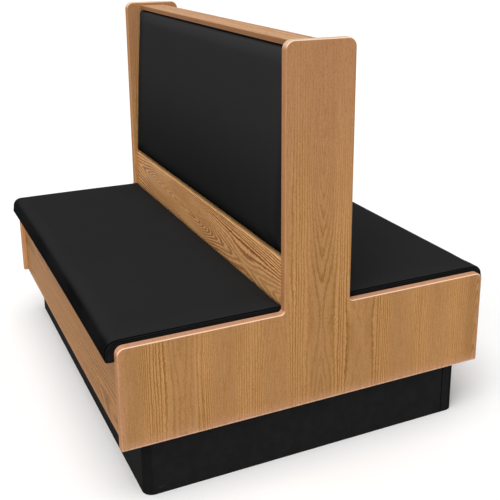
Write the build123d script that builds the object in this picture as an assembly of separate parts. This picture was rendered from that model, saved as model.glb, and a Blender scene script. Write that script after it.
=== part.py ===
from build123d import *
import os
from math import atan2, cos, degrees, sin, sqrt

os.makedirs("parts", exist_ok=True)

# Overall sizes in millimetres: X runs along the bench, Y through it, Z up from the floor
bench_length = 1360.0
booth_depth = 1114.0
booth_height = 1168.0
upright_width = 202.0
arm_height = 449.0
plinth_height = 165.0

# End panels
panel_thickness = 25.0
arm_corner_radius = 22.0
upright_corner_radius = 25.0
inner_corner_radius = 10.0
panel_edge_radius = 5.0

# Plinth under the bench
plinth_front_inset = 61.0
plinth_end_inset = 19.0
plinth_board_thickness = 18.0
plinth_corner_radius = 28.0

# Oak boards on show
apron_recess = 14.0
apron_thickness = 19.0
board_edge_radius = 3.0
lower_back_thickness = 18.0
lower_back_over_arm = 136.0
cap_width = 96.0
cap_thickness = 14.0
cap_drop = 12.0

# Hidden frame
rib_thickness = 18.0
inner_rib_count = 3
frame_base_width = 136.0
spine_foot_width = 92.0
spine_top_width = 24.0
top_batten_height = 40.0
sole_batten_width = 60.0
sole_batten_height = 30.0
cleat_thickness = 19.0
cleat_height = 38.0

# Seat cushions
seat_board_drop = 46.0
seat_rise = 9.0
seat_overhang = 24.0
seat_board_thickness = 12.0
seat_nose_radius = 28.0
seat_back_radius = 10.0
seat_foot_radius = 10.0
seat_end_crown = 2.0
seat_middle_crown = 5.0
seat_draw = 3.0

# Back pads
pad_thickness = 42.0
pad_board_thickness = 12.0
pad_edge_radius = 13.0
pad_end_crown = 1.0
pad_middle_crown = 3.0
pad_draw = 1.0
pad_gap = 0.5

# What both kinds of upholstery share
cover_thickness = 1.5
soft_clearance = 0.3
end_gap = 1.5
end_radius = 7.0
middle_shares = (-0.5, 0, 0.5)
end_shares = ((0, 1), (0.293, 0.293), (1, 0))

# How far every cutting body runs past what it cuts
overrun = 5.0

# Places that follow from the sizes above
half_turn = 180
quarter_turn = 90
half_length = bench_length / 2
half_depth = booth_depth / 2
inner_half = half_length - panel_thickness
apron_face = half_depth - apron_recess
apron_back = apron_face - apron_thickness
plinth_face = half_depth - plinth_front_inset
plinth_end = half_length - plinth_end_inset
seat_base = arm_height - seat_board_drop
cleat_foot = seat_base - cleat_height
frame_half = frame_base_width / 2
lower_back_face = frame_half + lower_back_thickness
lower_back_top = arm_height + lower_back_over_arm
cap_foot = booth_height - cap_drop - cap_thickness
batten_foot = cap_foot - top_batten_height
sole_back = apron_back - sole_batten_width
sole_top = plinth_height + sole_batten_height
cushion_half = inner_half - end_gap
seat_front = half_depth + seat_overhang
seat_depth = seat_front - lower_back_face - soft_clearance
rib_spacing = (2 * inner_half - rib_thickness) / (inner_rib_count + 1)
inner_rib_places = [rib_spacing * (n - (inner_rib_count - 1) / 2) for n in range(inner_rib_count)]
end_rib_place = inner_half - rib_thickness / 2

# The spine of the back leans in from its foot to its top on both faces
spine_lean = (spine_foot_width - spine_top_width) / 2
rake = atan2(spine_lean, cap_foot - lower_back_top)
pad_foot = lower_back_top + pad_gap
pad_top = cap_foot - pad_gap - pad_thickness * sin(rake)
pad_height = (pad_top - pad_foot) / cos(rake)


def spine_half(height):
    """Half the width of the back frame at a height above the lower back panels."""
    return spine_top_width / 2 + spine_lean * (cap_foot - height) / (cap_foot - lower_back_top)


def block(xs, ys, zs):
    """A board between two limits on each axis."""
    size = [limits[1] - limits[0] for limits in (xs, ys, zs)]
    middle = [(limits[1] + limits[0]) / 2 for limits in (xs, ys, zs)]
    return Pos(*middle) * Box(*size)


def plate(outline, x, thickness):
    """An outline drawn in Y and Z, made into a plate centred on x."""
    return extrude(Plane.YZ.offset(x - thickness / 2) * outline, thickness)


def corners_at(outline, places):
    """The corners of an outline that lie at the given places."""
    return [
        corner
        for corner in outline.vertices()
        if any(abs(corner.X - y) < soft_clearance and abs(corner.Y - z) < soft_clearance for y, z in places)
    ]


def both_ways(y, z):
    """A place in the outline and its mirror image."""
    return [(-y, z), (y, z)]


def end_panel():
    """The inverted T of an end panel, with its edges rounded over except along the foot."""
    upright_half = upright_width / 2
    arm_outline = [(half_depth, plinth_height), (half_depth, arm_height), (upright_half, arm_height)]
    right_side = arm_outline + [(upright_half, booth_height)]
    left_side = [(-y, z) for y, z in reversed(right_side)]
    outline = make_face(Polyline(*right_side, *left_side, close=True))
    for y, z, radius in (
        (half_depth, arm_height, arm_corner_radius),
        (upright_half, booth_height, upright_corner_radius),
        (upright_half, arm_height, inner_corner_radius),
    ):
        outline = fillet(corners_at(outline, both_ways(y, z)), radius)
    panel = plate(outline, 0, panel_thickness)
    rims = [
        edge
        for edge in panel.edges()
        if abs(edge.center().X) > panel_thickness / 2 - soft_clearance
        and edge.center().Z > plinth_height + soft_clearance
    ]
    return fillet(rims, panel_edge_radius)


def eased_board(xs, ys, zs, sides):
    """A board whose long top edges on the named sides are eased."""
    board = block(xs, ys, zs)
    long_tops = board.edges().filter_by(Axis.X).group_by(Axis.Z)[-1].sort_by(Axis.Y)
    return fillet([long_tops[side] for side in sides], board_edge_radius)


def apron():
    """The upright oak board under the front of the seat."""
    depths = (-apron_face, -apron_back)
    return eased_board((-inner_half, inner_half), depths, (plinth_height, seat_base), (0,))


def lower_back_panel():
    """The oak board between the seat cushion and the back pad."""
    return eased_board(
        (-inner_half, inner_half), (-lower_back_face, -frame_half), (cleat_foot, lower_back_top), (0,)
    )


def cap_rail():
    """The flat oak rail along the top of the back."""
    half = cap_width / 2
    return eased_board((-inner_half, inner_half), (-half, half), (cap_foot, cap_foot + cap_thickness), (0, 1))


def back_rib(x, foot):
    """An upright board of the back frame, wide below the pads and leaning in behind them."""
    half_outline = [
        (frame_half, foot),
        (frame_half, lower_back_top),
        (spine_half(lower_back_top), lower_back_top),
        (spine_half(batten_foot), batten_foot),
    ]
    mirrored = [(-y, z) for y, z in reversed(half_outline)]
    return plate(make_face(Polyline(*half_outline, *mirrored, close=True)), x, rib_thickness)


def seat_rib(x):
    """A board under the seat from the apron to the back frame, notched over the sole batten."""
    outline = make_face(
        Polyline(
            (-frame_half, plinth_height),
            (-frame_half, cleat_foot),
            (-lower_back_face, cleat_foot),
            (-lower_back_face, seat_base),
            (-apron_back, seat_base),
            (-apron_back, sole_top),
            (-sole_back, sole_top),
            (-sole_back, plinth_height),
            close=True,
        )
    )
    return plate(outline, x, rib_thickness)


def long_sole_batten():
    """The batten along the plinth behind the apron."""
    return block((-inner_half, inner_half), (-apron_back, -sole_back), (plinth_height, sole_top))


def short_sole_batten():
    """The batten along the plinth inside an end panel."""
    lengths = (inner_half - sole_batten_width, inner_half)
    return block(lengths, (-sole_back, sole_back), (plinth_height, sole_top))


def plinth_long_board():
    """The board along the front of the plinth, between its rounded corners."""
    run = plinth_end - plinth_corner_radius
    return block((-run, run), (-plinth_face, plinth_board_thickness - plinth_face), (0, plinth_height))


def plinth_end_board():
    """The board across the end of the plinth, between its rounded corners."""
    run = plinth_face - plinth_corner_radius
    return block((plinth_end - plinth_board_thickness, plinth_end), (-run, run), (0, plinth_height))


def plinth_corner(x_side, y_side):
    """A quarter-round post at a corner of the plinth."""
    centre_x = plinth_end - plinth_corner_radius
    centre_y = plinth_face - plinth_corner_radius
    post = Pos(centre_x, centre_y) * Cylinder(
        plinth_corner_radius, plinth_height, arc_size=quarter_turn, align=(Align.NONE, Align.NONE, Align.MIN)
    )
    if x_side < 0:
        post = mirror(post, Plane.YZ)
    if y_side < 0:
        post = mirror(post, Plane.XZ)
    return post


def plinth_cross(x):
    """A board across the inside of the plinth, under the ribs."""
    run = plinth_face - plinth_board_thickness
    half = rib_thickness / 2
    return block((x - half, x + half), (-run, run), (0, plinth_height))


def top_batten():
    """The batten on the back ribs that carries the cap rail."""
    half = spine_top_width / 2
    return block((-inner_half, inner_half), (-half, half), (batten_foot, cap_foot))


def seat_cleat(side):
    """The batten on an end panel that carries the end of a seat cushion."""
    inner = side * (inner_half - cleat_thickness)
    outer = side * inner_half
    return block(sorted((inner, outer)), (-apron_back, -lower_back_face), (cleat_foot, seat_base))


def cushion_section(share, low, under, sizes, inset):
    """A cushion's cross-section at a share of its half length, lying with its flat side down."""
    depth, height, radii, crowns, draws = sizes
    fullness = 1 - share ** 2
    front = inset + draws[0] * fullness
    back = depth - inset - draws[1] * fullness
    top = height - inset
    crest = top + crowns[0] + crowns[1] * fullness
    front_radius, back_radius, foot_radius = (max(radius - inset, 0) for radius in radii)
    front_corner = front_radius * (1 - sqrt(2) / 2)
    back_corner = back_radius * (1 - sqrt(2) / 2)
    outline = [
        Line((back, low), (back, top - back_radius)),
        ThreePointArc(
            (back, top - back_radius), (back - back_corner, top - back_corner), (back - back_radius, top)
        ),
        ThreePointArc(
            (back - back_radius, top), ((back + front) / 2, crest), (front + front_radius, top)
        ),
        ThreePointArc(
            (front + front_radius, top),
            (front + front_corner, top - front_corner),
            (front, top - front_radius),
        ),
    ]
    outline += cushion_foot(front, back, top - front_radius, low, under, foot_radius)
    return make_face(Curve() + outline)


def cushion_foot(front, back, start, low, under, radius):
    """The front of a cushion's section and its flat side, rolled under between them where it has a radius."""
    if radius == 0:
        return [Line((front, start), (front, low)), Line((front, low), (back, low))]
    corner = radius * (1 - sqrt(2) / 2)
    toe = front + radius
    run = [
        Line((front, start), (front, under + radius)),
        ThreePointArc((front, under + radius), (front + corner, under + corner), (toe, under)),
    ]
    if low < under:
        run.append(Line((toe, under), (toe, low)))
    return run + [Line((toe, low), (back, low))]


def cushion_stations(inset):
    """Places along X and set-in depths of a cushion's sections: round at the ends, crowned between."""
    reach = cushion_half - inset
    radius = end_radius - inset
    right = [(reach - radius * run, radius * pull) for run, pull in end_shares]
    left = [(-x, depth) for x, depth in right]
    middle = [((reach - radius) * share, 0) for share in middle_shares]
    return left + middle + right[::-1]


def cushion_form(low, sizes, inset):
    """A crowned cushion body with rounded ends, set in all round by the inset."""
    under = soft_clearance + inset
    sections = [
        Plane.YZ.offset(x) * cushion_section(x / cushion_half, low, under, sizes, inset + depth)
        for x, depth in cushion_stations(inset)
    ]
    return loft(sections, ruled=True)


def cushion_cover(sizes):
    """The vinyl skin of a cushion, open on its flat side."""
    outside = cushion_form(soft_clearance, sizes, 0)
    inside = cushion_form(-overrun, sizes, cover_thickness)
    return outside - inside


def board_limits(sizes):
    """The front and back limits of a cushion's board, behind the rolled foot of its front."""
    depth, height, radii, crowns, draws = sizes
    inset = cover_thickness + soft_clearance
    return max(inset, radii[2] + soft_clearance) + draws[0], depth - inset - draws[1]


def cushion_foam(sizes, board_thickness):
    """The foam between a cushion's board and its skin, rolled down in front of the board."""
    inset = cover_thickness + soft_clearance
    foam = cushion_form(soft_clearance + inset, sizes, inset)
    front, back = board_limits(sizes)
    room = block(
        (-half_length, half_length),
        (front - soft_clearance, back + overrun),
        (-overrun, board_thickness + soft_clearance),
    )
    return foam - room


def cushion_board(sizes, board_thickness):
    """The plywood board in the flat side of a cushion."""
    reach = cushion_half - cover_thickness - soft_clearance
    board = block((-reach, reach), board_limits(sizes), (0, board_thickness))
    return fillet(board.edges().filter_by(Axis.Z), end_radius)


def seat_sizes():
    """Depth, height at the edge, edge radii, crowns and drawn-in depths of a seat cushion."""
    height = seat_board_drop + seat_rise
    return (
        seat_depth,
        height,
        (seat_nose_radius, seat_back_radius, seat_foot_radius),
        (seat_end_crown, seat_middle_crown),
        (seat_draw, 0),
    )


def pad_sizes():
    """The same sizes for a back pad."""
    return (
        pad_height,
        pad_thickness,
        (pad_edge_radius, pad_edge_radius, 0),
        (pad_end_crown, pad_middle_crown),
        (pad_draw, pad_draw),
    )


def seat_place():
    """Where a seat cushion lies, its flat side on the seat frame."""
    return Pos(0, -seat_front, seat_base)


def pad_place():
    """Where a back pad stands, its flat side against the leaning ribs."""
    lean = quarter_turn - degrees(rake)
    return Pos(0, -spine_half(pad_foot), pad_foot) * Rot(lean, 0, 0)


def save(name, shape):
    """Write a piece as one node."""
    export_step(shape, f"parts/{name}.step")


def save_end(name, x_side):
    """Write what belongs to one end of the bench."""
    panel = Pos(x_side * (half_length - panel_thickness / 2), 0, 0) * end_panel()
    save(f"end_panel_{name}", panel)
    turn = half_turn if x_side < 0 else 0
    save(f"sole_batten_{name}", Rot(0, 0, turn) * short_sole_batten())
    save(f"plinth_end_{name}", Rot(0, 0, turn) * plinth_end_board())


def save_side(name, y_side):
    """Write what belongs to one of the two seats."""
    turn = half_turn if y_side > 0 else 0
    pieces = {
        "apron": apron(),
        "lower_back_panel": lower_back_panel(),
        "sole_batten": long_sole_batten(),
        "plinth_board": plinth_long_board(),
        "seat_cover": seat_place() * cushion_cover(seat_sizes()),
        "seat_foam": seat_place() * cushion_foam(seat_sizes(), seat_board_thickness),
        "seat_board": seat_place() * cushion_board(seat_sizes(), seat_board_thickness),
        "back_cover": pad_place() * cushion_cover(pad_sizes()),
        "back_foam": pad_place() * cushion_foam(pad_sizes(), pad_board_thickness),
        "back_board": pad_place() * cushion_board(pad_sizes(), pad_board_thickness),
    }
    for piece, shape in pieces.items():
        save(f"{piece}_{name}", Rot(0, 0, turn) * shape)
    for number, x in enumerate(inner_rib_places, start=1):
        save(f"seat_rib_{name}_{number}", mirror(seat_rib(x), Plane.XZ) if y_side > 0 else seat_rib(x))
    for end, x_side in ends.items():
        cleat = seat_cleat(x_side)
        save(f"seat_cleat_{name}_{end}", mirror(cleat, Plane.XZ) if y_side > 0 else cleat)
        save(f"plinth_corner_{name}_{end}", plinth_corner(x_side, y_side))


ends = {"left": -1, "right": 1}
sides = {"front": -1, "rear": 1}

for end, x_side in ends.items():
    save_end(end, x_side)
    save(f"back_rib_{end}", back_rib(x_side * end_rib_place, sole_top))
for side, y_side in sides.items():
    save_side(side, y_side)
for number, x in enumerate(inner_rib_places, start=1):
    save(f"back_rib_{number}", back_rib(x, plinth_height))
    save(f"plinth_cross_{number}", plinth_cross(x))
save("cap_rail", cap_rail())
save("top_batten", top_batten())
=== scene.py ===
import math
import bpy
from mathutils import Matrix, Vector


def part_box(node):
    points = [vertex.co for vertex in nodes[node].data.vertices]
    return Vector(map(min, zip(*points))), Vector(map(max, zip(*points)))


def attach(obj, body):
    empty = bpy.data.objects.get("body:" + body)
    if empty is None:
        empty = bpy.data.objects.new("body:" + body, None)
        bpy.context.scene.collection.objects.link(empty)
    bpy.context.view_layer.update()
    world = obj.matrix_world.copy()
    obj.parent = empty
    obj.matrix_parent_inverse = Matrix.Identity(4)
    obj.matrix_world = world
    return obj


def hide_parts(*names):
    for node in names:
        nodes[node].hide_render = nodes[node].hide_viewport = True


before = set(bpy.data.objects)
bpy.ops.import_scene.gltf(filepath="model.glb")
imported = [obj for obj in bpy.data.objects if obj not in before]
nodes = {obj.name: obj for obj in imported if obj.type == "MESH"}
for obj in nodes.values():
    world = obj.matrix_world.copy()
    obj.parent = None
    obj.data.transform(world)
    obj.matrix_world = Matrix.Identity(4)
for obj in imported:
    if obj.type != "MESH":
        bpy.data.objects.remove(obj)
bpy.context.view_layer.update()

# Axes by their number
X, Y, Z = 0, 1, 2

# Camera of the photograph: place in metres, angles in degrees, how far it sees in metres, lens and sensor
# in millimetres, and shift in shares of the picture's width
CAMERA_PLACE = (2.4909, -1.0173, 1.4084)
CAMERA_AZIMUTH = 64.1
CAMERA_ELEVATION = 16.2
CAMERA_REACH = 200.0
LENS = 60.4
SENSOR = 36.0
SHIFT = (-0.044, -0.14)

# Forms of the cushions in metres: radii of the nose, heel and foot, the crown at the ends and what the
# middle adds to it, and how far the front and the back are drawn in at the middle
SEAT_FORM = {"radii": (0.028, 0.010, 0.010), "crowns": (0.002, 0.002), "draws": (0.003, 0.0)}
PAD_FORM = {"radii": (0.013, 0.013, 0.004), "crowns": (0.001, 0.003), "draws": (0.001, 0.001)}
END_ROUND = 0.0055

# Largest share of the heel's and foot's radius that the rounded ends take away
ROUND_SHARE = 0.8

# Back pads in metres: thickness, and how far from the booth's middle the frame behind them reaches, at
# its foot and at its top
PAD_THICKNESS = 0.042
SPINE_FOOT = 0.046
SPINE_TOP = 0.012

# Room in metres that a pad keeps above and below it, a cushion to the end panels, and a pad to the frame
# behind it. The last is a limit that no cushion reaches
PAD_GAP = 0.0005
WALL_GAP = 0.0004
BOARD_GAP = 0.0003
FREE = 1.0

# How a cushion is filled and sewn, in metres: its slack before it is filled, the height of the band that
# its board holds, how far the filling moves a point at most, and the depth of a seam and of its lips
SLACK = 0.0006
BOARD_BAND = 0.014
FULLNESS = 0.0042
SEAM_DEPTH = 0.0020
SEAM_LIP = 0.0008

# Seam weights above which a point is sunk, and above which it is raised
SEAM_CORE = 0.75
SEAM_SIDE = 0.2

# Cloth simulation: frames, pressure and stiffness
CLOTH_FRAMES = 20
CLOTH_PRESSURE = 4.0
CLOTH_STRETCH = 40.0
CLOTH_SHEAR = 20.0
CLOTH_BEND = 4.0

# Cells of a cushion's mesh: steps in half of its nose, heel and foot, between the middles of two rounds
# up a wall, and in the round of an end. Then lengths in metres over the top and along the bench
NOSE_STEPS = 4
HEEL_STEPS = 2
FOOT_STEPS = 2
WALL_STEPS = 9
END_STEPS = 4
CELL = 0.014
LONG_CELL = 0.021

# Light as shares of what makes a white surface white, softness in degrees, and where it comes from
SKY = 0.42
KEY = 0.62
KEY_SPREAD = 50.0
KEY_FROM = (0.15, -0.2, 1.0)
FILL = 0.50
FILL_SPREAD = 60.0
FILL_FROM = (0.8, -1.0, 0.6)

# Floor: its length in metres and its linear colour
FLOOR_SIZE = 60.0
FLOOR_COLOUR = (0.9, 0.9, 0.9)


def camera_back():
    """Unit vector from the object towards the camera."""
    azimuth = math.radians(CAMERA_AZIMUTH)
    elevation = math.radians(CAMERA_ELEVATION)
    level = math.cos(elevation)
    return Vector((math.sin(azimuth) * level, -math.cos(azimuth) * level, math.sin(elevation)))


def make_camera():
    """The camera at the photograph's viewing angle."""
    data = bpy.data.cameras.new("camera")
    data.lens = LENS
    data.sensor_width = SENSOR
    data.shift_x, data.shift_y = SHIFT
    data.clip_end = CAMERA_REACH
    camera = bpy.data.objects.new("camera", data)
    camera.location = CAMERA_PLACE
    camera.rotation_mode = "QUATERNION"
    camera.rotation_quaternion = (-camera_back()).to_track_quat("-Z", "Y")
    bpy.context.scene.collection.objects.link(camera)
    bpy.context.scene.camera = camera


class Graph:
    """Builds the nodes of one material.

    A ramp of the material has a name and four numbers: where its input starts and ends, and its output
    there.
    """

    def __init__(self, name, ramps=None):
        self.material = bpy.data.materials.new(name)
        self.material.use_nodes = True
        self.nodes = self.material.node_tree.nodes
        self.links = self.material.node_tree.links
        self.shader = self.nodes["Principled BSDF"]
        self.ramps = ramps
        self.place = self.node("ShaderNodeTexCoord").outputs["Object"]
        self.axes = self.split(self.place)
        self.facing = self.split(self.node("ShaderNodeNewGeometry").outputs["Normal"])

    def node(self, kind, **settings):
        """A new node with its settings."""
        made = self.nodes.new(kind)
        for key, value in settings.items():
            setattr(made, key, value)
        return made

    def feed(self, socket, value):
        """Join another node's output to the socket, or set the socket to a number."""
        if isinstance(value, bpy.types.NodeSocket):
            self.links.new(value, socket)
        else:
            socket.default_value = value

    def math(self, operation, *values):
        """The result of one sum."""
        made = self.node("ShaderNodeMath", operation=operation)
        for socket, value in zip(made.inputs, values):
            self.feed(socket, value)
        return made.outputs[0]

    def add(self, *values):
        """The sum of all values."""
        total = values[0]
        for value in values[1:]:
            total = self.math("ADD", total, value)
        return total

    def times(self, *values):
        """The product of all values."""
        total = values[0]
        for value in values[1:]:
            total = self.math("MULTIPLY", total, value)
        return total

    def unsigned(self, value):
        """A value without its sign."""
        return self.math("ABSOLUTE", value)

    def split(self, vector):
        """The three parts of a vector."""
        made = self.node("ShaderNodeSeparateXYZ")
        self.feed(made.inputs[0], vector)
        return made.outputs

    def vector(self, *parts):
        """A vector of three parts."""
        made = self.node("ShaderNodeCombineXYZ")
        for socket, value in zip(made.inputs, parts):
            self.feed(socket, value)
        return made.outputs[0]

    def noise(self, vector, scale=1.0, detail=2.0, roughness=0.5):
        """Soft noise at a place."""
        made = self.node("ShaderNodeTexNoise")
        self.feed(made.inputs["Vector"], vector)
        made.inputs["Scale"].default_value = scale
        made.inputs["Detail"].default_value = detail
        made.inputs["Roughness"].default_value = roughness
        return made.outputs[0]

    def stretched(self, scales):
        """The place with each axis multiplied by its scale."""
        return self.vector(*(self.times(axis, scale) for axis, scale in zip(self.axes, scales)))

    def grain(self, run, side, scales, seed, detail=2.0, roughness=0.5):
        """Noise drawn out along the grain, with its scales per metre along and across."""
        place = self.vector(self.times(run, scales[0]), self.times(side, scales[1]), seed)
        return self.noise(place, detail=detail, roughness=roughness)

    def draws(self, number):
        """Three random numbers that belong to a number."""
        made = self.node("ShaderNodeTexWhiteNoise", noise_dimensions="1D")
        self.feed(made.inputs["W"], number)
        return self.split(made.outputs["Color"])

    def span(self, value, low, high, start=0.0, end=1.0):
        """Smoothly from the start to the end while the value goes from low to high."""
        made = self.node("ShaderNodeMapRange", interpolation_type="SMOOTHSTEP")
        for socket, item in zip(made.inputs, (value, low, high, start, end)):
            self.feed(socket, item)
        return made.outputs[0]

    def ramp(self, name, value):
        """The value sent through one of the material's ramps."""
        return self.span(value, *self.ramps[name])

    def near(self, axis, start, end, share):
        """A share that grows between two distances from the origin along an axis."""
        return self.span(self.unsigned(self.axes[axis]), start, end, 0.0, share)

    def mix(self, share, first, second):
        """Two colours mixed, with the share of the second."""
        made = self.node("ShaderNodeMix", data_type="RGBA")
        self.feed(made.inputs[0], share)
        for socket, value in ((made.inputs[6], first), (made.inputs[7], second)):
            self.feed(socket, value if isinstance(value, bpy.types.NodeSocket) else (*value, 1.0))
        return made.outputs[2]

    def bump(self, height, distance):
        """Relief of a height in metres."""
        made = self.node("ShaderNodeBump")
        made.inputs["Distance"].default_value = distance
        self.feed(made.inputs["Height"], height)
        self.feed(self.shader.inputs["Normal"], made.outputs[0])

    def gloss(self, specular, coat=0.0, coat_roughness=0.3):
        """How strongly the surface and its lacquer shine."""
        self.shader.inputs["Specular IOR Level"].default_value = specular
        self.shader.inputs["Coat Weight"].default_value = coat
        self.shader.inputs["Coat Roughness"].default_value = coat_roughness

    def finish(self, colour, roughness):
        """The finished material."""
        self.feed(self.shader.inputs["Base Color"], colour)
        self.feed(self.shader.inputs["Roughness"], roughness)
        return self.material


# Oak veneers. Linear colours: light and dark tone, grain lines, hazy borders, board edges, upward edges
# and warm borders, eased rims, inner faces, and the top of the uprights. Upward edges are lighter as
# painted light from above. The eased rims of the end panels and the apron, the apron's edges and the
# uprights' top carry a painted highlight, and the end panels' inner faces are painted lighter against
# their shade. Metres: width of a veneer leaf, spacing of its rings and height of its arches. Then how fast
# the arches follow each other, in radians per metre, the grain's slant, the strength of the lines and of
# those in the heart of plain leaves, where in a ring the dark line starts, and the seed
OAK_PANEL = {
    "light": (0.488, 0.254, 0.101), "dark": (0.380, 0.197, 0.082), "line": (0.220, 0.095, 0.014),
    "haze": (0.405, 0.200, 0.104), "edge": (0.335, 0.158, 0.068), "top": (0.520, 0.270, 0.165),
    "rim": (0.900, 0.640, 0.480), "inside": (0.680, 0.355, 0.142), "crest": (0.620, 0.470, 0.335),
    "leaf": 0.135, "spacing": 0.0072, "arch": 0.032, "swing": 4.5, "slant": 0.0,
    "line_share": 0.90, "plain_share": 0.22, "crisp": 0.64, "seed": 0.325,
}
OAK_APRON = {
    "light": (0.357, 0.162, 0.048), "dark": (0.289, 0.131, 0.039), "line": (0.110, 0.047, 0.010),
    "haze": (0.400, 0.190, 0.085), "edge": (0.720, 0.380, 0.130), "top": (0.720, 0.380, 0.130),
    "rim": (0.800, 0.420, 0.150), "inside": (0.357, 0.162, 0.048),
    "leaf": 0.220, "spacing": 0.0140, "arch": 0.070, "swing": 4.2, "slant": -0.04,
    "line_share": 0.60, "plain_share": 1.00, "crisp": 0.56, "seed": 3.61,
}
# Lighter than the end panels' oak: painted light against the shade between the seat and the pad
OAK_STRIP = {
    "light": (0.760, 0.420, 0.172), "dark": (0.655, 0.352, 0.143), "line": (0.210, 0.074, 0.025),
    "edge": (0.560, 0.320, 0.135), "top": (0.560, 0.320, 0.135), "rim": (0.600, 0.350, 0.150),
    "inside": (0.760, 0.420, 0.172),
    "leaf": 0.190, "spacing": 0.0080, "arch": 0.036, "swing": 5.5, "slant": 0.06,
    "line_share": 0.95, "plain_share": 0.90, "crisp": 0.46, "seed": 5.56,
}
OAK_RAIL = {
    "light": (0.572, 0.316, 0.152), "dark": (0.470, 0.252, 0.119), "line": (0.250, 0.105, 0.033),
    "edge": (0.180, 0.078, 0.032), "top": (0.180, 0.078, 0.032), "rim": (0.260, 0.115, 0.048),
    "inside": (0.572, 0.316, 0.152),
    "leaf": 0.150, "spacing": 0.0150, "arch": 0.030, "swing": 2.4, "slant": 0.0,
    "line_share": 0.80, "plain_share": 0.80, "crisp": 0.56, "seed": 7.4,
}

# Oak ramps, then gloss, coat and the coat's roughness, and relief in metres
OAK_RAMPS = {
    "line_end": (0.88, 1.0, 1.0, 0.0),
    "patch": (0.34, 0.60, 0.45, 1.0),
    "pore": (0.56, 0.70, 0.0, 1.0),
    "pores_in_ring": (0.15, 0.85, 0.3, 1.0),
    "tone": (0.22, 0.78, 0.0, 1.0),
    # The inside ramp masks the painted light on inner faces
    "inside": (0.0, 0.3, 0.0, 0.9),
    "fibre": (0.40, 0.72, 0.0, 0.28),
    "fleck": (0.45, 0.75, 0.0, 0.42),
    # The top ramp masks painted light on upward edges, the crest ramp a painted highlight on the uprights'
    # top
    "top": (0.05, 0.60, 0.0, 1.0),
    "crest": (0.0, 0.5, 0.0, 1.0),
    "edge_fibre": (0.35, 0.75, 0.0, 0.25),
    "edge": (0.55, 0.97, 0.9, 0.0),
    # The rim ramps mask the painted highlight on eased rims
    "rim_start": (0.35, 0.75, 0.0, 1.0),
    "rim_end": (0.80, 0.97, 1.0, 0.0),
    "rim_above": (0.05, 0.45, 0.05, 0.8),
    "roughness": (0.0, 1.0, 0.46, 0.64),
}
OAK_GLOSS = (0.03, 0.005, 0.25)
OAK_RELIEF = 0.00018

# Oak noise: scales per metre along and across the grain, and how rough the fibres' noise is
WANDER_SCALES = (5.0, 30.0)
RAGGED_SCALES = (110.0, 110.0)
PATCH_SCALES = (2.2, 16.0)
PORE_SCALES = (60.0, 950.0)
FIBRE_SCALES = (10.0, 330.0)
FLECK_SCALES = (260.0, 420.0)
BROAD_SCALES = (1.8, 10.0)
FIBRE_ROUGHNESS = 0.65

# Veneer leaves: how many metres before the origin they are counted from, how many draws a seed of 1
# skips, and over how many metres of grain the leaves are picked. Then shares of a leaf's width: how far
# its heart may shift and how round it is, how far its arches reach, and where its border starts and ends
LEAF_START = 10.0
SEED_STEP = 7.0
LEAF_STEP = 6.0
HEART_SHIFT = 0.15
HEART_ROUND = 0.05
ARCH_REACH = 0.45
BORDER_SHARES = (0.20, 0.34)

# Rings: the scale per metre of the noise that bends the arches, how far apart the leaves lie in it, and
# its strength in arches. Then how far the lines stray, softly and finely, in rings
BEND_SCALE = 3.0
BEND_STEP = 9.0
BEND_SHARE = 1.2
WANDER_SHARE = 1.3
RAGGED_SHARE = 0.5

# Ring lines: their blur in rings, the leaf's numbers between which it goes from plain to figured, and
# the lines' strength in a figured heart
LINE_BLUR = 0.16
FIGURED_LEAVES = (0.60, 0.75)
FIGURED_SHARE = 0.80

# Oak tone: weights of the broad noise, the leaf's number and its border, and what is added
TONE_WEIGHTS = (0.50, 0.25, -0.25)
TONE_BASE = 0.25

# Strength of the pores' colour, relief of the lines beside that of the pores, what the patches and the
# broad noise add to the seed, and how far down the painted highlight on an upright's top reaches, in metres
PORE_SHARE = 0.40
LINE_RELIEF = 0.3
PATCH_SEED = 4.0
BROAD_SEED = 9.0
CREST_DEPTH = 0.03


def growth_rings(graph, run, side, oak):
    """Where a point lies in its ring, how far out in its veneer leaf, and a number of the leaf's own."""
    width = oak["leaf"]
    seed = oak["seed"]
    leaves = graph.math("DIVIDE", graph.add(side, LEAF_START + seed), width)
    draws = graph.draws(graph.add(graph.math("FLOOR", leaves), seed * SEED_STEP))
    across = graph.times(graph.add(graph.math("FRACT", leaves), -0.5), width)
    across = graph.add(across, graph.times(graph.add(draws[0], -0.5), width * HEART_SHIFT))
    outward = graph.unsigned(across)
    along = graph.add(run, graph.times(draws[1], LEAF_STEP))
    turn = graph.add(graph.times(run, oak["swing"]), graph.times(draws[1], 2.0 * math.pi))
    bend = graph.vector(graph.times(along, BEND_SCALE), graph.times(draws[2], BEND_STEP), seed)
    bend = graph.times(graph.add(graph.noise(bend, detail=1.0), -0.5), BEND_SHARE)
    rise = graph.times(graph.add(graph.math("SINE", turn), bend), oak["arch"])
    rise = graph.times(rise, graph.span(outward, 0.0, width * ARCH_REACH, 1.0, 0.0))
    wander = graph.grain(along, side, WANDER_SCALES, seed, detail=3.0)
    wander = graph.times(wander, oak["spacing"] * WANDER_SHARE)
    ragged = graph.grain(along, side, RAGGED_SCALES, seed, detail=1.0)
    ragged = graph.times(ragged, oak["spacing"] * RAGGED_SHARE)
    ring = graph.math("SQRT", graph.add(graph.math("POWER", across, 2.0), (width * HEART_ROUND) ** 2))
    ring = graph.math("DIVIDE", graph.add(ring, rise, wander, ragged), oak["spacing"])
    return graph.math("FRACT", ring), outward, draws[2]


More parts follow.
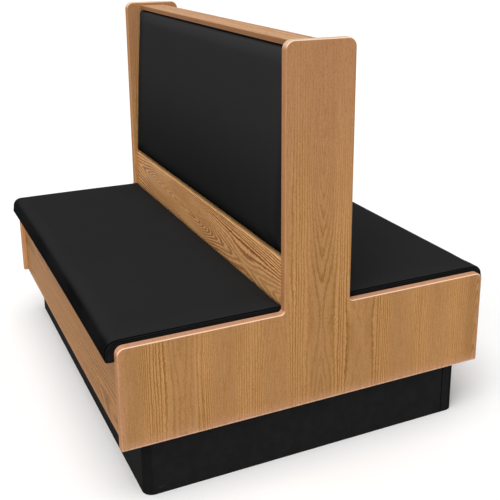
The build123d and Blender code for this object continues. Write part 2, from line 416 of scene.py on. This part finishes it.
def ring_lines(graph, run, side, phase, leaf_border, leaf_number, oak):
    """Dark lines of the rings, weaker in patches and in the hearts of plain leaves."""
    lines = graph.span(phase, oak["crisp"] - LINE_BLUR, oak["crisp"] + LINE_BLUR)
    lines = graph.times(lines, graph.ramp("line_end", phase))
    patches = graph.grain(run, side, PATCH_SCALES, oak["seed"] + PATCH_SEED)
    lines = graph.times(lines, graph.ramp("patch", patches), oak["line_share"])
    heart = graph.span(leaf_number, *FIGURED_LEAVES, oak["plain_share"], FIGURED_SHARE)
    return graph.times(lines, graph.math("MAXIMUM", leaf_border, heart))


def oak_veneer(name, along, across, through, oak, borders=(), crest=None):
    """Oak veneer laid in leaves.

    It is given the axes along the grain, across it and through the board, the board's borders as axis,
    start, end, share and tint, and the height of the top that carries a painted highlight. Its upward
    edges, eased rims and inner faces carry painted light.
    """
    graph = Graph(name, OAK_RAMPS)
    seed = oak["seed"]
    run = graph.axes[along]
    side = graph.add(graph.axes[across], graph.times(run, oak["slant"]))
    phase, outward, leaf_number = growth_rings(graph, run, side, oak)
    leaf_border = graph.span(outward, *(oak["leaf"] * share for share in BORDER_SHARES))
    lines = ring_lines(graph, run, side, phase, leaf_border, leaf_number, oak)
    pores = graph.grain(run, side, PORE_SCALES, seed, detail=1.0)
    pores = graph.times(graph.ramp("pore", pores), graph.ramp("pores_in_ring", phase))
    fibres = graph.grain(run, side, FIBRE_SCALES, seed, detail=3.0, roughness=FIBRE_ROUGHNESS)
    flecks = graph.grain(run, side, FLECK_SCALES, seed, detail=1.0)
    broad = graph.grain(run, side, BROAD_SCALES, seed + BROAD_SEED)
    parts = zip((broad, leaf_number, leaf_border), TONE_WEIGHTS)
    tone = graph.add(*(graph.times(part, weight) for part, weight in parts), TONE_BASE)
    colour = graph.mix(graph.ramp("tone", tone), oak["light"], oak["dark"])
    # Painted light: the end panels' inner faces are lifted, against their shade
    inward = graph.times(graph.axes[through], graph.facing[through], -1.0)
    colour = graph.mix(graph.ramp("inside", inward), colour, oak["inside"])
    for axis, start, end, share, tint in borders:
        near = graph.near(axis, start, end, share)
        colour = graph.mix(near, colour, oak[tint])
        lines = graph.times(lines, graph.add(1.0, graph.times(near, -1.0)))
    colour = graph.mix(graph.ramp("fibre", fibres), colour, oak["line"])
    colour = graph.mix(graph.ramp("fleck", flecks), colour, oak["line"])
    colour = graph.mix(lines, colour, oak["line"])
    colour = graph.mix(graph.times(pores, PORE_SHARE), colour, oak["line"])
    # Painted light: edges that face up are lighter than those that face sideways
    edge = graph.mix(graph.ramp("top", graph.facing[Z]), oak["edge"], oak["top"])
    # Painted highlight along the top of the uprights
    if crest:
        height = graph.span(graph.axes[Z], crest - CREST_DEPTH, crest)
        edge = graph.mix(graph.times(graph.ramp("crest", graph.facing[Z]), height), edge, oak["crest"])
    edge = graph.mix(graph.ramp("edge_fibre", fibres), edge, oak["line"])
    flat = graph.unsigned(graph.facing[through])
    colour = graph.mix(graph.ramp("edge", flat), colour, edge)
    # Painted highlight on the eased rims of the end panels and the apron
    rim = graph.times(graph.ramp("rim_start", flat), graph.ramp("rim_end", flat))
    rim = graph.times(rim, graph.ramp("rim_above", graph.facing[Z]))
    colour = graph.mix(rim, colour, oak["rim"])
    graph.bump(graph.add(graph.times(pores, -1.0), graph.times(lines, -LINE_RELIEF)), OAK_RELIEF)
    graph.gloss(*OAK_GLOSS)
    return graph.finish(colour, graph.ramp("roughness", pores))


# Vinyl. Linear colours: broad faces, painted shade where they turn away, a painted highlight for the
# pad's upper edge, and the deepest painted shade, which also colours the seams. Then the tone of dull
# patches, noise scales per metre, the share of the mottle in the relief, the relief in metres, gloss,
# refraction and ramps
SEAT_BLACK = (0.0233, 0.0233, 0.0235)
SEAT_PAINTED_SHADE = (0.0036, 0.0036, 0.0037)
PAD_BLACK = (0.0250, 0.0250, 0.0252)
PAD_PAINTED_SHADE = (0.0045, 0.0045, 0.0046)
PAD_PAINTED_HIGHLIGHT = (0.0470, 0.0470, 0.0475)
DEEP_SHADE_AND_SEAM = (0.0005, 0.0005, 0.0005)
VINYL_DULL = 0.86
VINYL_CELLS = 620.0
VINYL_MOTTLE = 260.0
VINYL_CLOUDS = 3.2
MOTTLE_SHARE = 0.6
VINYL_RELIEF = 0.00007
VINYL_GLOSS = 0.001
VINYL_IOR = 1.15
VINYL_RAMPS = {
    "crease": (0.0, 0.22, 0.0, 1.0),
    # The turned ramp masks painted shade, the sideways ramp painted light on faces along the bench
    "turned": (0.55, 0.99, 1.0, 0.0),
    "sideways": (0.55, 0.95, 0.0, 0.6),
    "dull": (0.35, 0.7, 0.0, 0.3),
    "crease_shade": (0.0, 1.0, 0.35, 0.0),
    "seam": (0.15, 0.75, 0.0, 0.9),
    # The below ramp masks painted shade on faces that look down
    "below": (-0.6, 0.15, 0.85, 0.0),
    "roughness": (0.3, 0.7, 0.50, 0.60),
}

# Zones of the vinyl: where each starts and ends, in metres, and its share. The seat gets painted shade
# towards the floor. So does the pad, once softly and once just above its foot, measured from the foot. The
# pad gets a painted highlight below the cap rail, once broadly and once at the very edge, both measured
# from the rail. It gets painted shade towards its ends, measured from the middle of the bench
SEAT_SHADE = (0.45, 0.40, 0.30)
PAD_SHADE = (1.00, 0.62, 0.50)
PAD_FOOT_SHADE = (0.045, 0.004, 0.72)
PAD_TOP_HIGHLIGHT = (0.052, 0.020, 0.26)
PAD_EDGE_HIGHLIGHT = (0.020, 0.006, 0.35)
PAD_END_SHADE = (0.580, 0.602, 0.25)


def vinyl(name, broad, broad_colour, painted_shade_colour, zones):
    """Black upholstery vinyl with a fine grain, darker where it turns away from the broad face or down.

    It is given the axis that the broad face looks along, and zones as axis, start, end, share and colour.
    Its darkening where it turns away, in creases and where it looks down is painted shade.
    """
    graph = Graph(name, VINYL_RAMPS)
    cells = graph.node("ShaderNodeTexVoronoi", feature="DISTANCE_TO_EDGE")
    graph.feed(cells.inputs["Vector"], graph.place)
    cells.inputs["Scale"].default_value = VINYL_CELLS
    creases = graph.ramp("crease", cells.outputs["Distance"])
    mottle = graph.noise(graph.place, VINYL_MOTTLE, detail=3.0)
    graph.bump(graph.add(creases, graph.times(mottle, MOTTLE_SHARE)), VINYL_RELIEF)
    cloudy = graph.noise(graph.place, VINYL_CLOUDS, detail=3.0)
    # Painted shade where the surface turns away from the broad face
    turned = graph.ramp("turned", graph.unsigned(graph.facing[broad]))
    colour = graph.mix(turned, broad_colour, painted_shade_colour)
    # Painted light: faces along the bench are lifted back towards the broad colour
    sideways = graph.ramp("sideways", graph.unsigned(graph.facing[X]))
    colour = graph.mix(sideways, colour, broad_colour)
    dull = [value * VINYL_DULL for value in broad_colour]
    colour = graph.mix(graph.ramp("dull", cloudy), colour, dull)
    colour = graph.mix(graph.ramp("crease_shade", creases), colour, painted_shade_colour)
    seam = graph.node("ShaderNodeAttribute", attribute_name="stitch").outputs["Fac"]
    colour = graph.mix(graph.ramp("seam", seam), colour, DEEP_SHADE_AND_SEAM)
    # Zones of painted shade and painted highlight
    for axis, start, end, share, tint in zones:
        colour = graph.mix(graph.near(axis, start, end, share), colour, tint)
    # Painted shade on faces that look down
    colour = graph.mix(graph.ramp("below", graph.facing[Z]), colour, DEEP_SHADE_AND_SEAM)
    graph.gloss(VINYL_GLOSS)
    graph.shader.inputs["IOR"].default_value = VINYL_IOR
    return graph.finish(colour, graph.ramp("roughness", cloudy))


# Plinth laminate: linear colours, noise scales per metre, relief in metres, gloss and ramps
LAMINATE_DARK = (0.0108, 0.0108, 0.0110)
LAMINATE_LIGHT = (0.0133, 0.0133, 0.0135)
LAMINATE_SCUFF = (0.030, 0.029, 0.028)
# Painted shade on the rounded corners and long sides, and also the colour of the joints
LAMINATE_SHADE_AND_JOINT = (0.0010, 0.0010, 0.0010)
LAMINATE_PEEL = 700.0
LAMINATE_SMUDGE = 40.0
SCUFF_SCALES = (30.0, 30.0, 190.0)
LAMINATE_RELIEF = 0.00004
LAMINATE_GLOSS = 0.003
LAMINATE_RAMPS = {
    "scuff": (0.66, 0.76, 0.0, 1.0),
    "scuff_height": (0.01, 0.07, 0.5, 0.0),
    "smudge": (0.3, 0.7, 0.0, 1.0),
    # The corner and long_side ramps mask painted shade
    "corner": (0.0, 0.35, 0.0, 0.36),
    "long_side": (0.7, 1.0, 0.0, 0.2),
    "joint": (0.0010, 0.0024, 0.8, 0.0),
    "roughness": (0.3, 0.7, 0.48, 0.60),
}

# How far the laminate's joint lies from the rear end of the plinth's end boards, in metres
JOINT_INSET = 0.021


def laminate(joint):
    """Matte black laminate, with painted shade on the rounded corners, with scuffs and a fine joint across
    each end.
    """
    graph = Graph("plinth_laminate", LAMINATE_RAMPS)
    peel = graph.noise(graph.place, LAMINATE_PEEL)
    smudge = graph.noise(graph.place, LAMINATE_SMUDGE, detail=4.0)
    scuffs = graph.ramp("scuff", graph.noise(graph.stretched(SCUFF_SCALES)))
    scuffs = graph.times(scuffs, graph.ramp("scuff_height", graph.axes[Z]))
    colour = graph.mix(graph.ramp("smudge", smudge), LAMINATE_DARK, LAMINATE_LIGHT)
    colour = graph.mix(scuffs, colour, LAMINATE_SCUFF)
    # Painted shade on the rounded corners and on the long sides
    turned = graph.unsigned(graph.times(graph.facing[X], graph.facing[Y]))
    colour = graph.mix(graph.ramp("corner", turned), colour, LAMINATE_SHADE_AND_JOINT)
    colour = graph.mix(graph.ramp("long_side", graph.unsigned(graph.facing[Y])), colour, LAMINATE_SHADE_AND_JOINT)
    line = graph.ramp("joint", graph.unsigned(graph.add(graph.axes[Y], -joint)))
    colour = graph.mix(graph.times(line, graph.unsigned(graph.facing[X])), colour, LAMINATE_SHADE_AND_JOINT)
    graph.bump(peel, LAMINATE_RELIEF)
    graph.gloss(LAMINATE_GLOSS)
    return graph.finish(colour, graph.ramp("roughness", smudge))


# Birch plywood: linear colours, noise scales per metre, how much finer and how rough the figure's noise
# is, relief in metres, gloss and ramps
PLY_DARK = (0.560, 0.400, 0.240)
PLY_LIGHT = (0.640, 0.480, 0.310)
PLY_GRAIN = (0.430, 0.280, 0.150)
PLY_FIGURE_SCALES = (4.0, 14.0, 4.0)
PLY_GRAIN_SCALES = (40.0, 600.0, 40.0)
PLY_FIGURE_FINENESS = 1.6
PLY_FIGURE_ROUGHNESS = 0.6
PLY_RELIEF = 0.0001
PLY_GLOSS = 0.3
PLY_RAMPS = {
    "grain": (0.4, 0.75, 0.0, 0.4),
    "roughness": (0.3, 0.7, 0.62, 0.74),
}


def plywood():
    """Birch plywood with a soft figure and fine grain."""
    graph = Graph("frame_plywood", PLY_RAMPS)
    place = graph.stretched(PLY_FIGURE_SCALES)
    figure = graph.noise(place, PLY_FIGURE_FINENESS, detail=4.0, roughness=PLY_FIGURE_ROUGHNESS)
    grain = graph.noise(graph.stretched(PLY_GRAIN_SCALES))
    colour = graph.mix(figure, PLY_DARK, PLY_LIGHT)
    colour = graph.mix(graph.ramp("grain", grain), colour, PLY_GRAIN)
    graph.bump(grain, PLY_RELIEF)
    graph.gloss(PLY_GLOSS)
    return graph.finish(colour, graph.ramp("roughness", figure))


# Borders of the oak boards: where each starts and ends, in metres, and its share. The haze starts at a
# height and ends at the board's top. The others are measured from the edge that they run along, and
# those with one length end at that edge
PANEL_HAZE = (0.55, 0.75)
PANEL_LOWER = (0.034, 0.6)
# Painted highlight along the end panels' lower edge
PANEL_LOW_HIGHLIGHT = (0.006, 0.001, 0.4)
PANEL_END = (0.026, 0.5)
APRON_LOWER = (0.030, 0.7)
# Painted highlight along the apron's top
APRON_TOP_HIGHLIGHT = (0.012, 0.004, 0.6)


def end_panel_borders():
    """Haze up the uprights, warm lower and end borders, and a painted highlight along the lower edge."""
    low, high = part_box("end_panel_right")
    return (
        (Z, PANEL_HAZE[0], high.z, PANEL_HAZE[1], "haze"),
        (Z, low.z + PANEL_LOWER[0], low.z, PANEL_LOWER[1], "top"),
        # Painted highlight along the lower edge, which looks down into shade
        (Z, low.z + PANEL_LOW_HIGHLIGHT[0], low.z + PANEL_LOW_HIGHLIGHT[1], PANEL_LOW_HIGHLIGHT[2], "rim"),
        (Y, high.y - PANEL_END[0], high.y, PANEL_END[1], "top"),
    )


def apron_borders():
    """A hazy lower border, and a painted highlight along the top under the cushion."""
    low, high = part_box("apron_front")
    return (
        (Z, low.z + APRON_LOWER[0], low.z, APRON_LOWER[1], "haze"),
        # Painted highlight along the top, under the cushion
        (Z, high.z - APRON_TOP_HIGHLIGHT[0], high.z - APRON_TOP_HIGHLIGHT[1], APRON_TOP_HIGHLIGHT[2], "top"),
    )


def dress_frame():
    """Give every CAD node that stays its material."""
    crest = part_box("end_panel_right")[1].z
    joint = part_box("plinth_end_right")[1].y - JOINT_INSET
    materials = {
        "end_panel": oak_veneer("oak_end_panel", Z, Y, X, OAK_PANEL, end_panel_borders(), crest),
        "apron": oak_veneer("oak_apron", X, Z, Y, OAK_APRON, apron_borders()),
        "lower_back": oak_veneer("oak_lower_back", X, Z, Y, OAK_STRIP),
        "cap_rail": oak_veneer("oak_cap_rail", X, Y, Z, OAK_RAIL),
        "plinth_cross": plywood(),
        "plinth": laminate(joint),
    }
    for name, item in nodes.items():
        kind = next((key for key in materials if name.startswith(key)), "plinth_cross")
        item.data.materials.clear()
        item.data.materials.append(materials[kind])


def half_arc(centre, radius, start, end, steps):
    """Points on an arc in the section plane, from the start angle up to but without the end angle."""
    angles = [math.radians(start + (end - start) * step / steps) for step in range(steps)]
    return [(centre[0] + radius * math.cos(angle), centre[1] + radius * math.sin(angle)) for angle in angles]


def straight(start, end, steps):
    """Points on a straight run, from its start up to but without its end."""
    run = [second - first for first, second in zip(start, end)]
    shares = [step / steps for step in range(steps)]
    return [(start[0] + run[0] * share, start[1] + run[1] * share) for share in shares]


def section_ring(size, form, set_in, full):
    """A cushion's section, from its lower front corner up the front, along the top, and down and back."""
    depth, height = size
    nose = form["radii"][0]
    heel, foot = [radius - min(set_in, radius * ROUND_SHARE) for radius in form["radii"][1:]]
    front, back = set_in + form["draws"][0] * full, depth - set_in - form["draws"][1] * full
    top = height - set_in
    top_steps = round((depth - form["radii"][0] - form["radii"][1]) / CELL)
    under_steps = top_steps + NOSE_STEPS + HEEL_STEPS - 2 * FOOT_STEPS
    front_foot, back_foot = (front + foot, foot), (back - foot, foot)
    return (
        half_arc(front_foot, foot, 225, 180, FOOT_STEPS)
        + straight((front, foot), (front, top - nose), WALL_STEPS - NOSE_STEPS - FOOT_STEPS)
        + half_arc((front + nose, top - nose), nose, 180, 90, 2 * NOSE_STEPS)
        + straight((front + nose, top), (back - heel, top), top_steps)
        + half_arc((back - heel, top - heel), heel, 90, 0, 2 * HEEL_STEPS)
        + straight((back, top - heel), (back, foot), WALL_STEPS - HEEL_STEPS - FOOT_STEPS)
        + half_arc(back_foot, foot, 360, 270, 2 * FOOT_STEPS)
        + straight((back - foot, 0.0), (front + foot, 0.0), under_steps)
        + half_arc(front_foot, foot, 270, 225, FOOT_STEPS)
    )


def stations(reach):
    """Places along X with their set-in depths, rounded at both ends."""
    right = []
    for step in range(END_STEPS + 1):
        angle = math.radians(90 * step / END_STEPS)
        right.append((reach - END_ROUND * (1 - math.cos(angle)), END_ROUND * (1 - math.sin(angle))))
    run = reach - END_ROUND
    count = round(2 * run / LONG_CELL)
    middle = [(-run + 2 * run * step / count, 0.0) for step in range(1, count)]
    return [(-x, set_in) for x, set_in in right] + middle + right[::-1]


def crowned(point, size, crown):
    """A section point raised by the crown of the cushion's top."""
    y, z = point
    depth, height = size
    share = min(max(y / depth, 0.0), 1.0)
    return y, z + crown * 4 * share * (1 - share) * min(max(z / height, 0.0), 1.0)


def end_fill(ring):
    """Points inside an end's ring, and the faces that fill the ring; places in the ring come first."""
    wide = len(ring) // 2 - WALL_STEPS
    corners = (0, WALL_STEPS, WALL_STEPS + wide, 2 * WALL_STEPS + wide)
    inside = []
    places = {}
    for step in range(wide + 1):
        for rise in range(WALL_STEPS + 1):
            if rise == 0:
                places[step, rise] = (len(ring) - step) % len(ring)
            elif rise == WALL_STEPS:
                places[step, rise] = corners[1] + step
            elif step == 0:
                places[step, rise] = rise
            elif step == wide:
                places[step, rise] = corners[3] - rise
            else:
                places[step, rise] = len(ring) + len(inside)
                across, up = step / wide, rise / WALL_STEPS
                low, high = ring[(len(ring) - step) % len(ring)], ring[corners[1] + step]
                near, far = ring[rise], ring[corners[3] - rise]
                blended = []
                for axis in range(3):
                    edges = (
                        low[axis] * (1 - up) + high[axis] * up
                        + near[axis] * (1 - across) + far[axis] * across
                    )
                    twice = (
                        (ring[corners[0]][axis] * (1 - up) + ring[corners[1]][axis] * up) * (1 - across)
                        + (ring[corners[3]][axis] * (1 - up) + ring[corners[2]][axis] * up) * across
                    )
                    blended.append(edges - twice)
                inside.append(tuple(blended))
    faces = [
        (places[step, rise], places[step + 1, rise], places[step + 1, rise + 1], places[step, rise + 1])
        for step in range(wide)
        for rise in range(WALL_STEPS)
    ]
    return inside, faces


def cushion(name, reach, size, form):
    """A closed cushion lying on its flat side, a little slack all round, with its seams marked."""
    rings = []
    for x, set_in in stations(reach - SLACK * 0.5):
        full = 1 - (x / reach) ** 2
        crown = form["crowns"][0] + form["crowns"][1] * full
        ring = section_ring(size, form, set_in + SLACK, full)
        rings.append([(x, *crowned(point, size, crown)) for point in ring])
    around = len(rings[0])
    points = [point for ring in rings for point in ring]
    faces = []
    for number in range(len(rings) - 1):
        start = number * around
        for place in range(around):
            after = (place + 1) % around
            faces.append((start + after, start + place, start + around + place, start + around + after))
    for number, turn in ((0, False), (len(rings) - 1, True)):
        inside, fill = end_fill(rings[number])
        starts = (number * around, len(points) - around)
        for face in fill:
            ends = [starts[0] + place if place < around else starts[1] + place for place in face]
            faces.append(ends[::-1] if turn else ends)
        points += inside
    mesh = bpy.data.meshes.new(name)
    mesh.from_pydata(points, [], faces)
    mesh.update()
    piece = bpy.data.objects.new(name, mesh)
    bpy.context.scene.collection.objects.link(piece)
    held = [place for place, point in enumerate(points) if point[Z] < BOARD_BAND]
    piece.vertex_groups.new(name="held").add(held, 1.0, "REPLACE")
    middle = END_STEPS // 2
    seams = (middle, len(rings) - 1 - middle)
    stitched = [number * around + place for number in seams for place in range(around)]
    piece.vertex_groups.new(name="seam").add(stitched, 1.0, "REPLACE")
    return piece


def stuffed(piece):
    """Blow the cushion up with a cloth simulation, each point moving no further than its fullness."""
    rest = [vertex.co.copy() for vertex in piece.data.vertices]
    modifier = piece.modifiers.new("stuffing", "CLOTH")
    settings = modifier.settings
    settings.use_pressure = True
    settings.uniform_pressure_force = CLOTH_PRESSURE
    settings.effector_weights.gravity = 0.0
    settings.vertex_group_mass = "held"
    settings.tension_stiffness = CLOTH_STRETCH
    settings.compression_stiffness = CLOTH_STRETCH
    settings.shear_stiffness = CLOTH_SHEAR
    settings.bending_stiffness = CLOTH_BEND
    for number in range(1, CLOTH_FRAMES + 1):
        bpy.context.scene.frame_set(number)
    shown = piece.evaluated_get(bpy.context.evaluated_depsgraph_get())
    blown = [vertex.co.copy() for vertex in shown.data.vertices]
    piece.modifiers.remove(modifier)
    bpy.context.scene.frame_set(1)
    for vertex, start, end in zip(piece.data.vertices, rest, blown):
        move = end - start
        if move.length > 0:
            vertex.co = start + move.normalized() * FULLNESS * math.tanh(move.length / FULLNESS)


def smoothed(piece):
    """Subdivide the cushion once and shade it smooth."""
    modifier = piece.modifiers.new("smooth", "SUBSURF")
    modifier.levels = 1
    shown = piece.evaluated_get(bpy.context.evaluated_depsgraph_get())
    mesh = bpy.data.meshes.new_from_object(shown)
    piece.modifiers.remove(modifier)
    piece.data = mesh
    mesh.polygons.foreach_set("use_smooth", [True] * len(mesh.polygons))


def sewn(piece):
    """Sink the seam near each end, with a small lip on both its sides, and mark it for the vinyl."""
    group = piece.vertex_groups["seam"].index
    normals = [vertex.normal.copy() for vertex in piece.data.vertices]
    marks = piece.data.attributes.new("stitch", "FLOAT", "POINT").data
    for vertex, normal, mark in zip(piece.data.vertices, normals, marks):
        weight = max((item.weight for item in vertex.groups if item.group == group), default=0.0)
        mark.value = weight
        if weight > SEAM_CORE:
            vertex.co -= normal * SEAM_DEPTH
        elif weight > SEAM_SIDE:
            vertex.co += normal * SEAM_LIP
    piece.data.update()


def kept_inside(piece, lows, highs):
    """Stop the cushion at what it rests on and stands between."""
    for vertex in piece.data.vertices:
        vertex.co = [min(max(value, low), high) for value, low, high in zip(vertex.co, lows, highs)]
    piece.data.update()


def make_cushion(name, size, form, place, lows, highs, skin):
    """Make a cushion and its twin on the other side, both in place.

    The limits are for Y and Z of the cushion as it lies before it is put in place.
    """
    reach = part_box("seat_cover_front")[1].x
    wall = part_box("end_panel_right")[0].x - WALL_GAP
    piece = cushion(f"{name}_front", reach, size, form)
    stuffed(piece)
    smoothed(piece)
    sewn(piece)
    kept_inside(piece, (-wall, *lows), (wall, *highs))
    piece.data.materials.append(skin)
    piece.data.transform(place)
    twin = bpy.data.objects.new(f"{name}_rear", piece.data.copy())
    twin.data.transform(Matrix.Rotation(math.pi, 4, "Z"))
    bpy.context.scene.collection.objects.link(twin)
    return piece, twin


def make_seats():
    """The seat cushions, lying on the frame."""
    low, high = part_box("seat_cover_front")
    depth = high.y - low.y
    height = high.z - low.z - sum(SEAT_FORM["crowns"])
    # Painted shade where the cushion turns away and towards the floor
    skin = vinyl("seat_vinyl", Z, SEAT_BLACK, SEAT_PAINTED_SHADE, [(Z, *SEAT_SHADE, SEAT_PAINTED_SHADE)])
    place = Matrix.Translation((0.0, low.y, low.z))
    lows, highs = (-FREE, 0.0), (depth, FREE)
    return make_cushion("seat_cushion", (depth, height), SEAT_FORM, place, lows, highs, skin)


def make_pads():
    """The back pads, leaning on the frame between the lower back panels and the cap rail."""
    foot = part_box("lower_back_panel_front")[1].z + PAD_GAP
    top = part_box("cap_rail")[0].z
    # Painted shade towards the floor, the foot and the ends, and painted highlights below the cap rail
    zones = [
        (Z, *PAD_SHADE, PAD_PAINTED_SHADE),
        (Z, foot + PAD_FOOT_SHADE[0], foot + PAD_FOOT_SHADE[1], PAD_FOOT_SHADE[2], DEEP_SHADE_AND_SEAM),
        (Z, top - PAD_TOP_HIGHLIGHT[0], top - PAD_TOP_HIGHLIGHT[1], PAD_TOP_HIGHLIGHT[2], PAD_PAINTED_HIGHLIGHT),
        (Z, top - PAD_EDGE_HIGHLIGHT[0], top - PAD_EDGE_HIGHLIGHT[1], PAD_EDGE_HIGHLIGHT[2], PAD_PAINTED_HIGHLIGHT),
        (X, *PAD_END_SHADE, PAD_PAINTED_SHADE),
    ]
    skin = vinyl("pad_vinyl", Y, PAD_BLACK, PAD_PAINTED_SHADE, zones)
    lean = math.atan2(SPINE_FOOT - SPINE_TOP, top - foot + PAD_GAP)
    rise = (top - PAD_GAP - PAD_THICKNESS * math.sin(lean) - foot) / math.cos(lean)
    hip = SPINE_TOP + (SPINE_FOOT - SPINE_TOP) * (top - foot) / (top - foot + PAD_GAP)
    place = Matrix.Translation((0.0, -hip, foot)) @ Matrix.Rotation(math.pi / 2 - lean, 4, "X")
    lows, highs = (0.0, BOARD_GAP), (rise, FREE)
    return make_cushion("back_pad", (rise, PAD_THICKNESS), PAD_FORM, place, lows, highs, skin)


def make_upholstery():
    """The seat cushions and back pads, declared for the frame."""
    seats = make_seats()
    pads = make_pads()
    for kind, pieces in (("seat", seats), ("back", pads)):
        for side, piece in zip(("front", "rear"), pieces):
            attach(piece, "root")
            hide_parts(f"{kind}_cover_{side}", f"{kind}_foam_{side}")


def make_sun(name, share, spread, direction):
    """A soft far light that gives a surface facing it a share of full white."""
    data = bpy.data.lights.new(name, "SUN")
    data.energy = share * math.pi
    data.angle = math.radians(spread)
    lamp = bpy.data.objects.new(name, data)
    lamp.rotation_mode = "QUATERNION"
    lamp.rotation_quaternion = Vector(direction).to_track_quat("Z", "Y")
    bpy.context.scene.collection.objects.link(lamp)


def make_floor():
    """A pale floor."""
    half = FLOOR_SIZE / 2
    corners = [(-half, -half, 0), (half, -half, 0), (half, half, 0), (-half, half, 0)]
    mesh = bpy.data.meshes.new("floor")
    mesh.from_pydata(corners, [], [(0, 1, 2, 3)])
    floor = bpy.data.objects.new("floor", mesh)
    bpy.context.scene.collection.objects.link(floor)
    graph = Graph("floor")
    graph.gloss(0.0)
    floor.data.materials.append(graph.finish((*FLOOR_COLOUR, 1.0), 1.0))


def make_backdrop():
    """A world that is white to the camera, in reflections and through glass, and lights softly otherwise."""
    world = bpy.data.worlds.new("studio")
    bpy.context.scene.world = world
    world.use_nodes = True
    tree = world.node_tree
    path = tree.nodes.new("ShaderNodeLightPath")
    seen = path.outputs["Is Camera Ray"]
    for kind in ("Is Glossy Ray", "Is Transmission Ray"):
        joined = tree.nodes.new("ShaderNodeMath")
        joined.operation = "MAXIMUM"
        tree.links.new(seen, joined.inputs[0])
        tree.links.new(path.outputs[kind], joined.inputs[1])
        seen = joined.outputs[0]
    strength = tree.nodes.new("ShaderNodeMapRange")
    tree.links.new(seen, strength.inputs[0])
    strength.inputs["To Min"].default_value = SKY
    backdrop = tree.nodes["Background"]
    backdrop.inputs["Color"].default_value = (1.0, 1.0, 1.0, 1.0)
    tree.links.new(strength.outputs[0], backdrop.inputs["Strength"])


def make_studio():
    """The floor, the backdrop and soft light."""
    make_floor()
    make_sun("key", KEY, KEY_SPREAD, KEY_FROM)
    make_sun("fill", FILL, FILL_SPREAD, FILL_FROM)
    make_backdrop()
    bpy.context.scene.view_settings.view_transform = "Standard"


make_camera()
dress_frame()
make_upholstery()
make_studio()
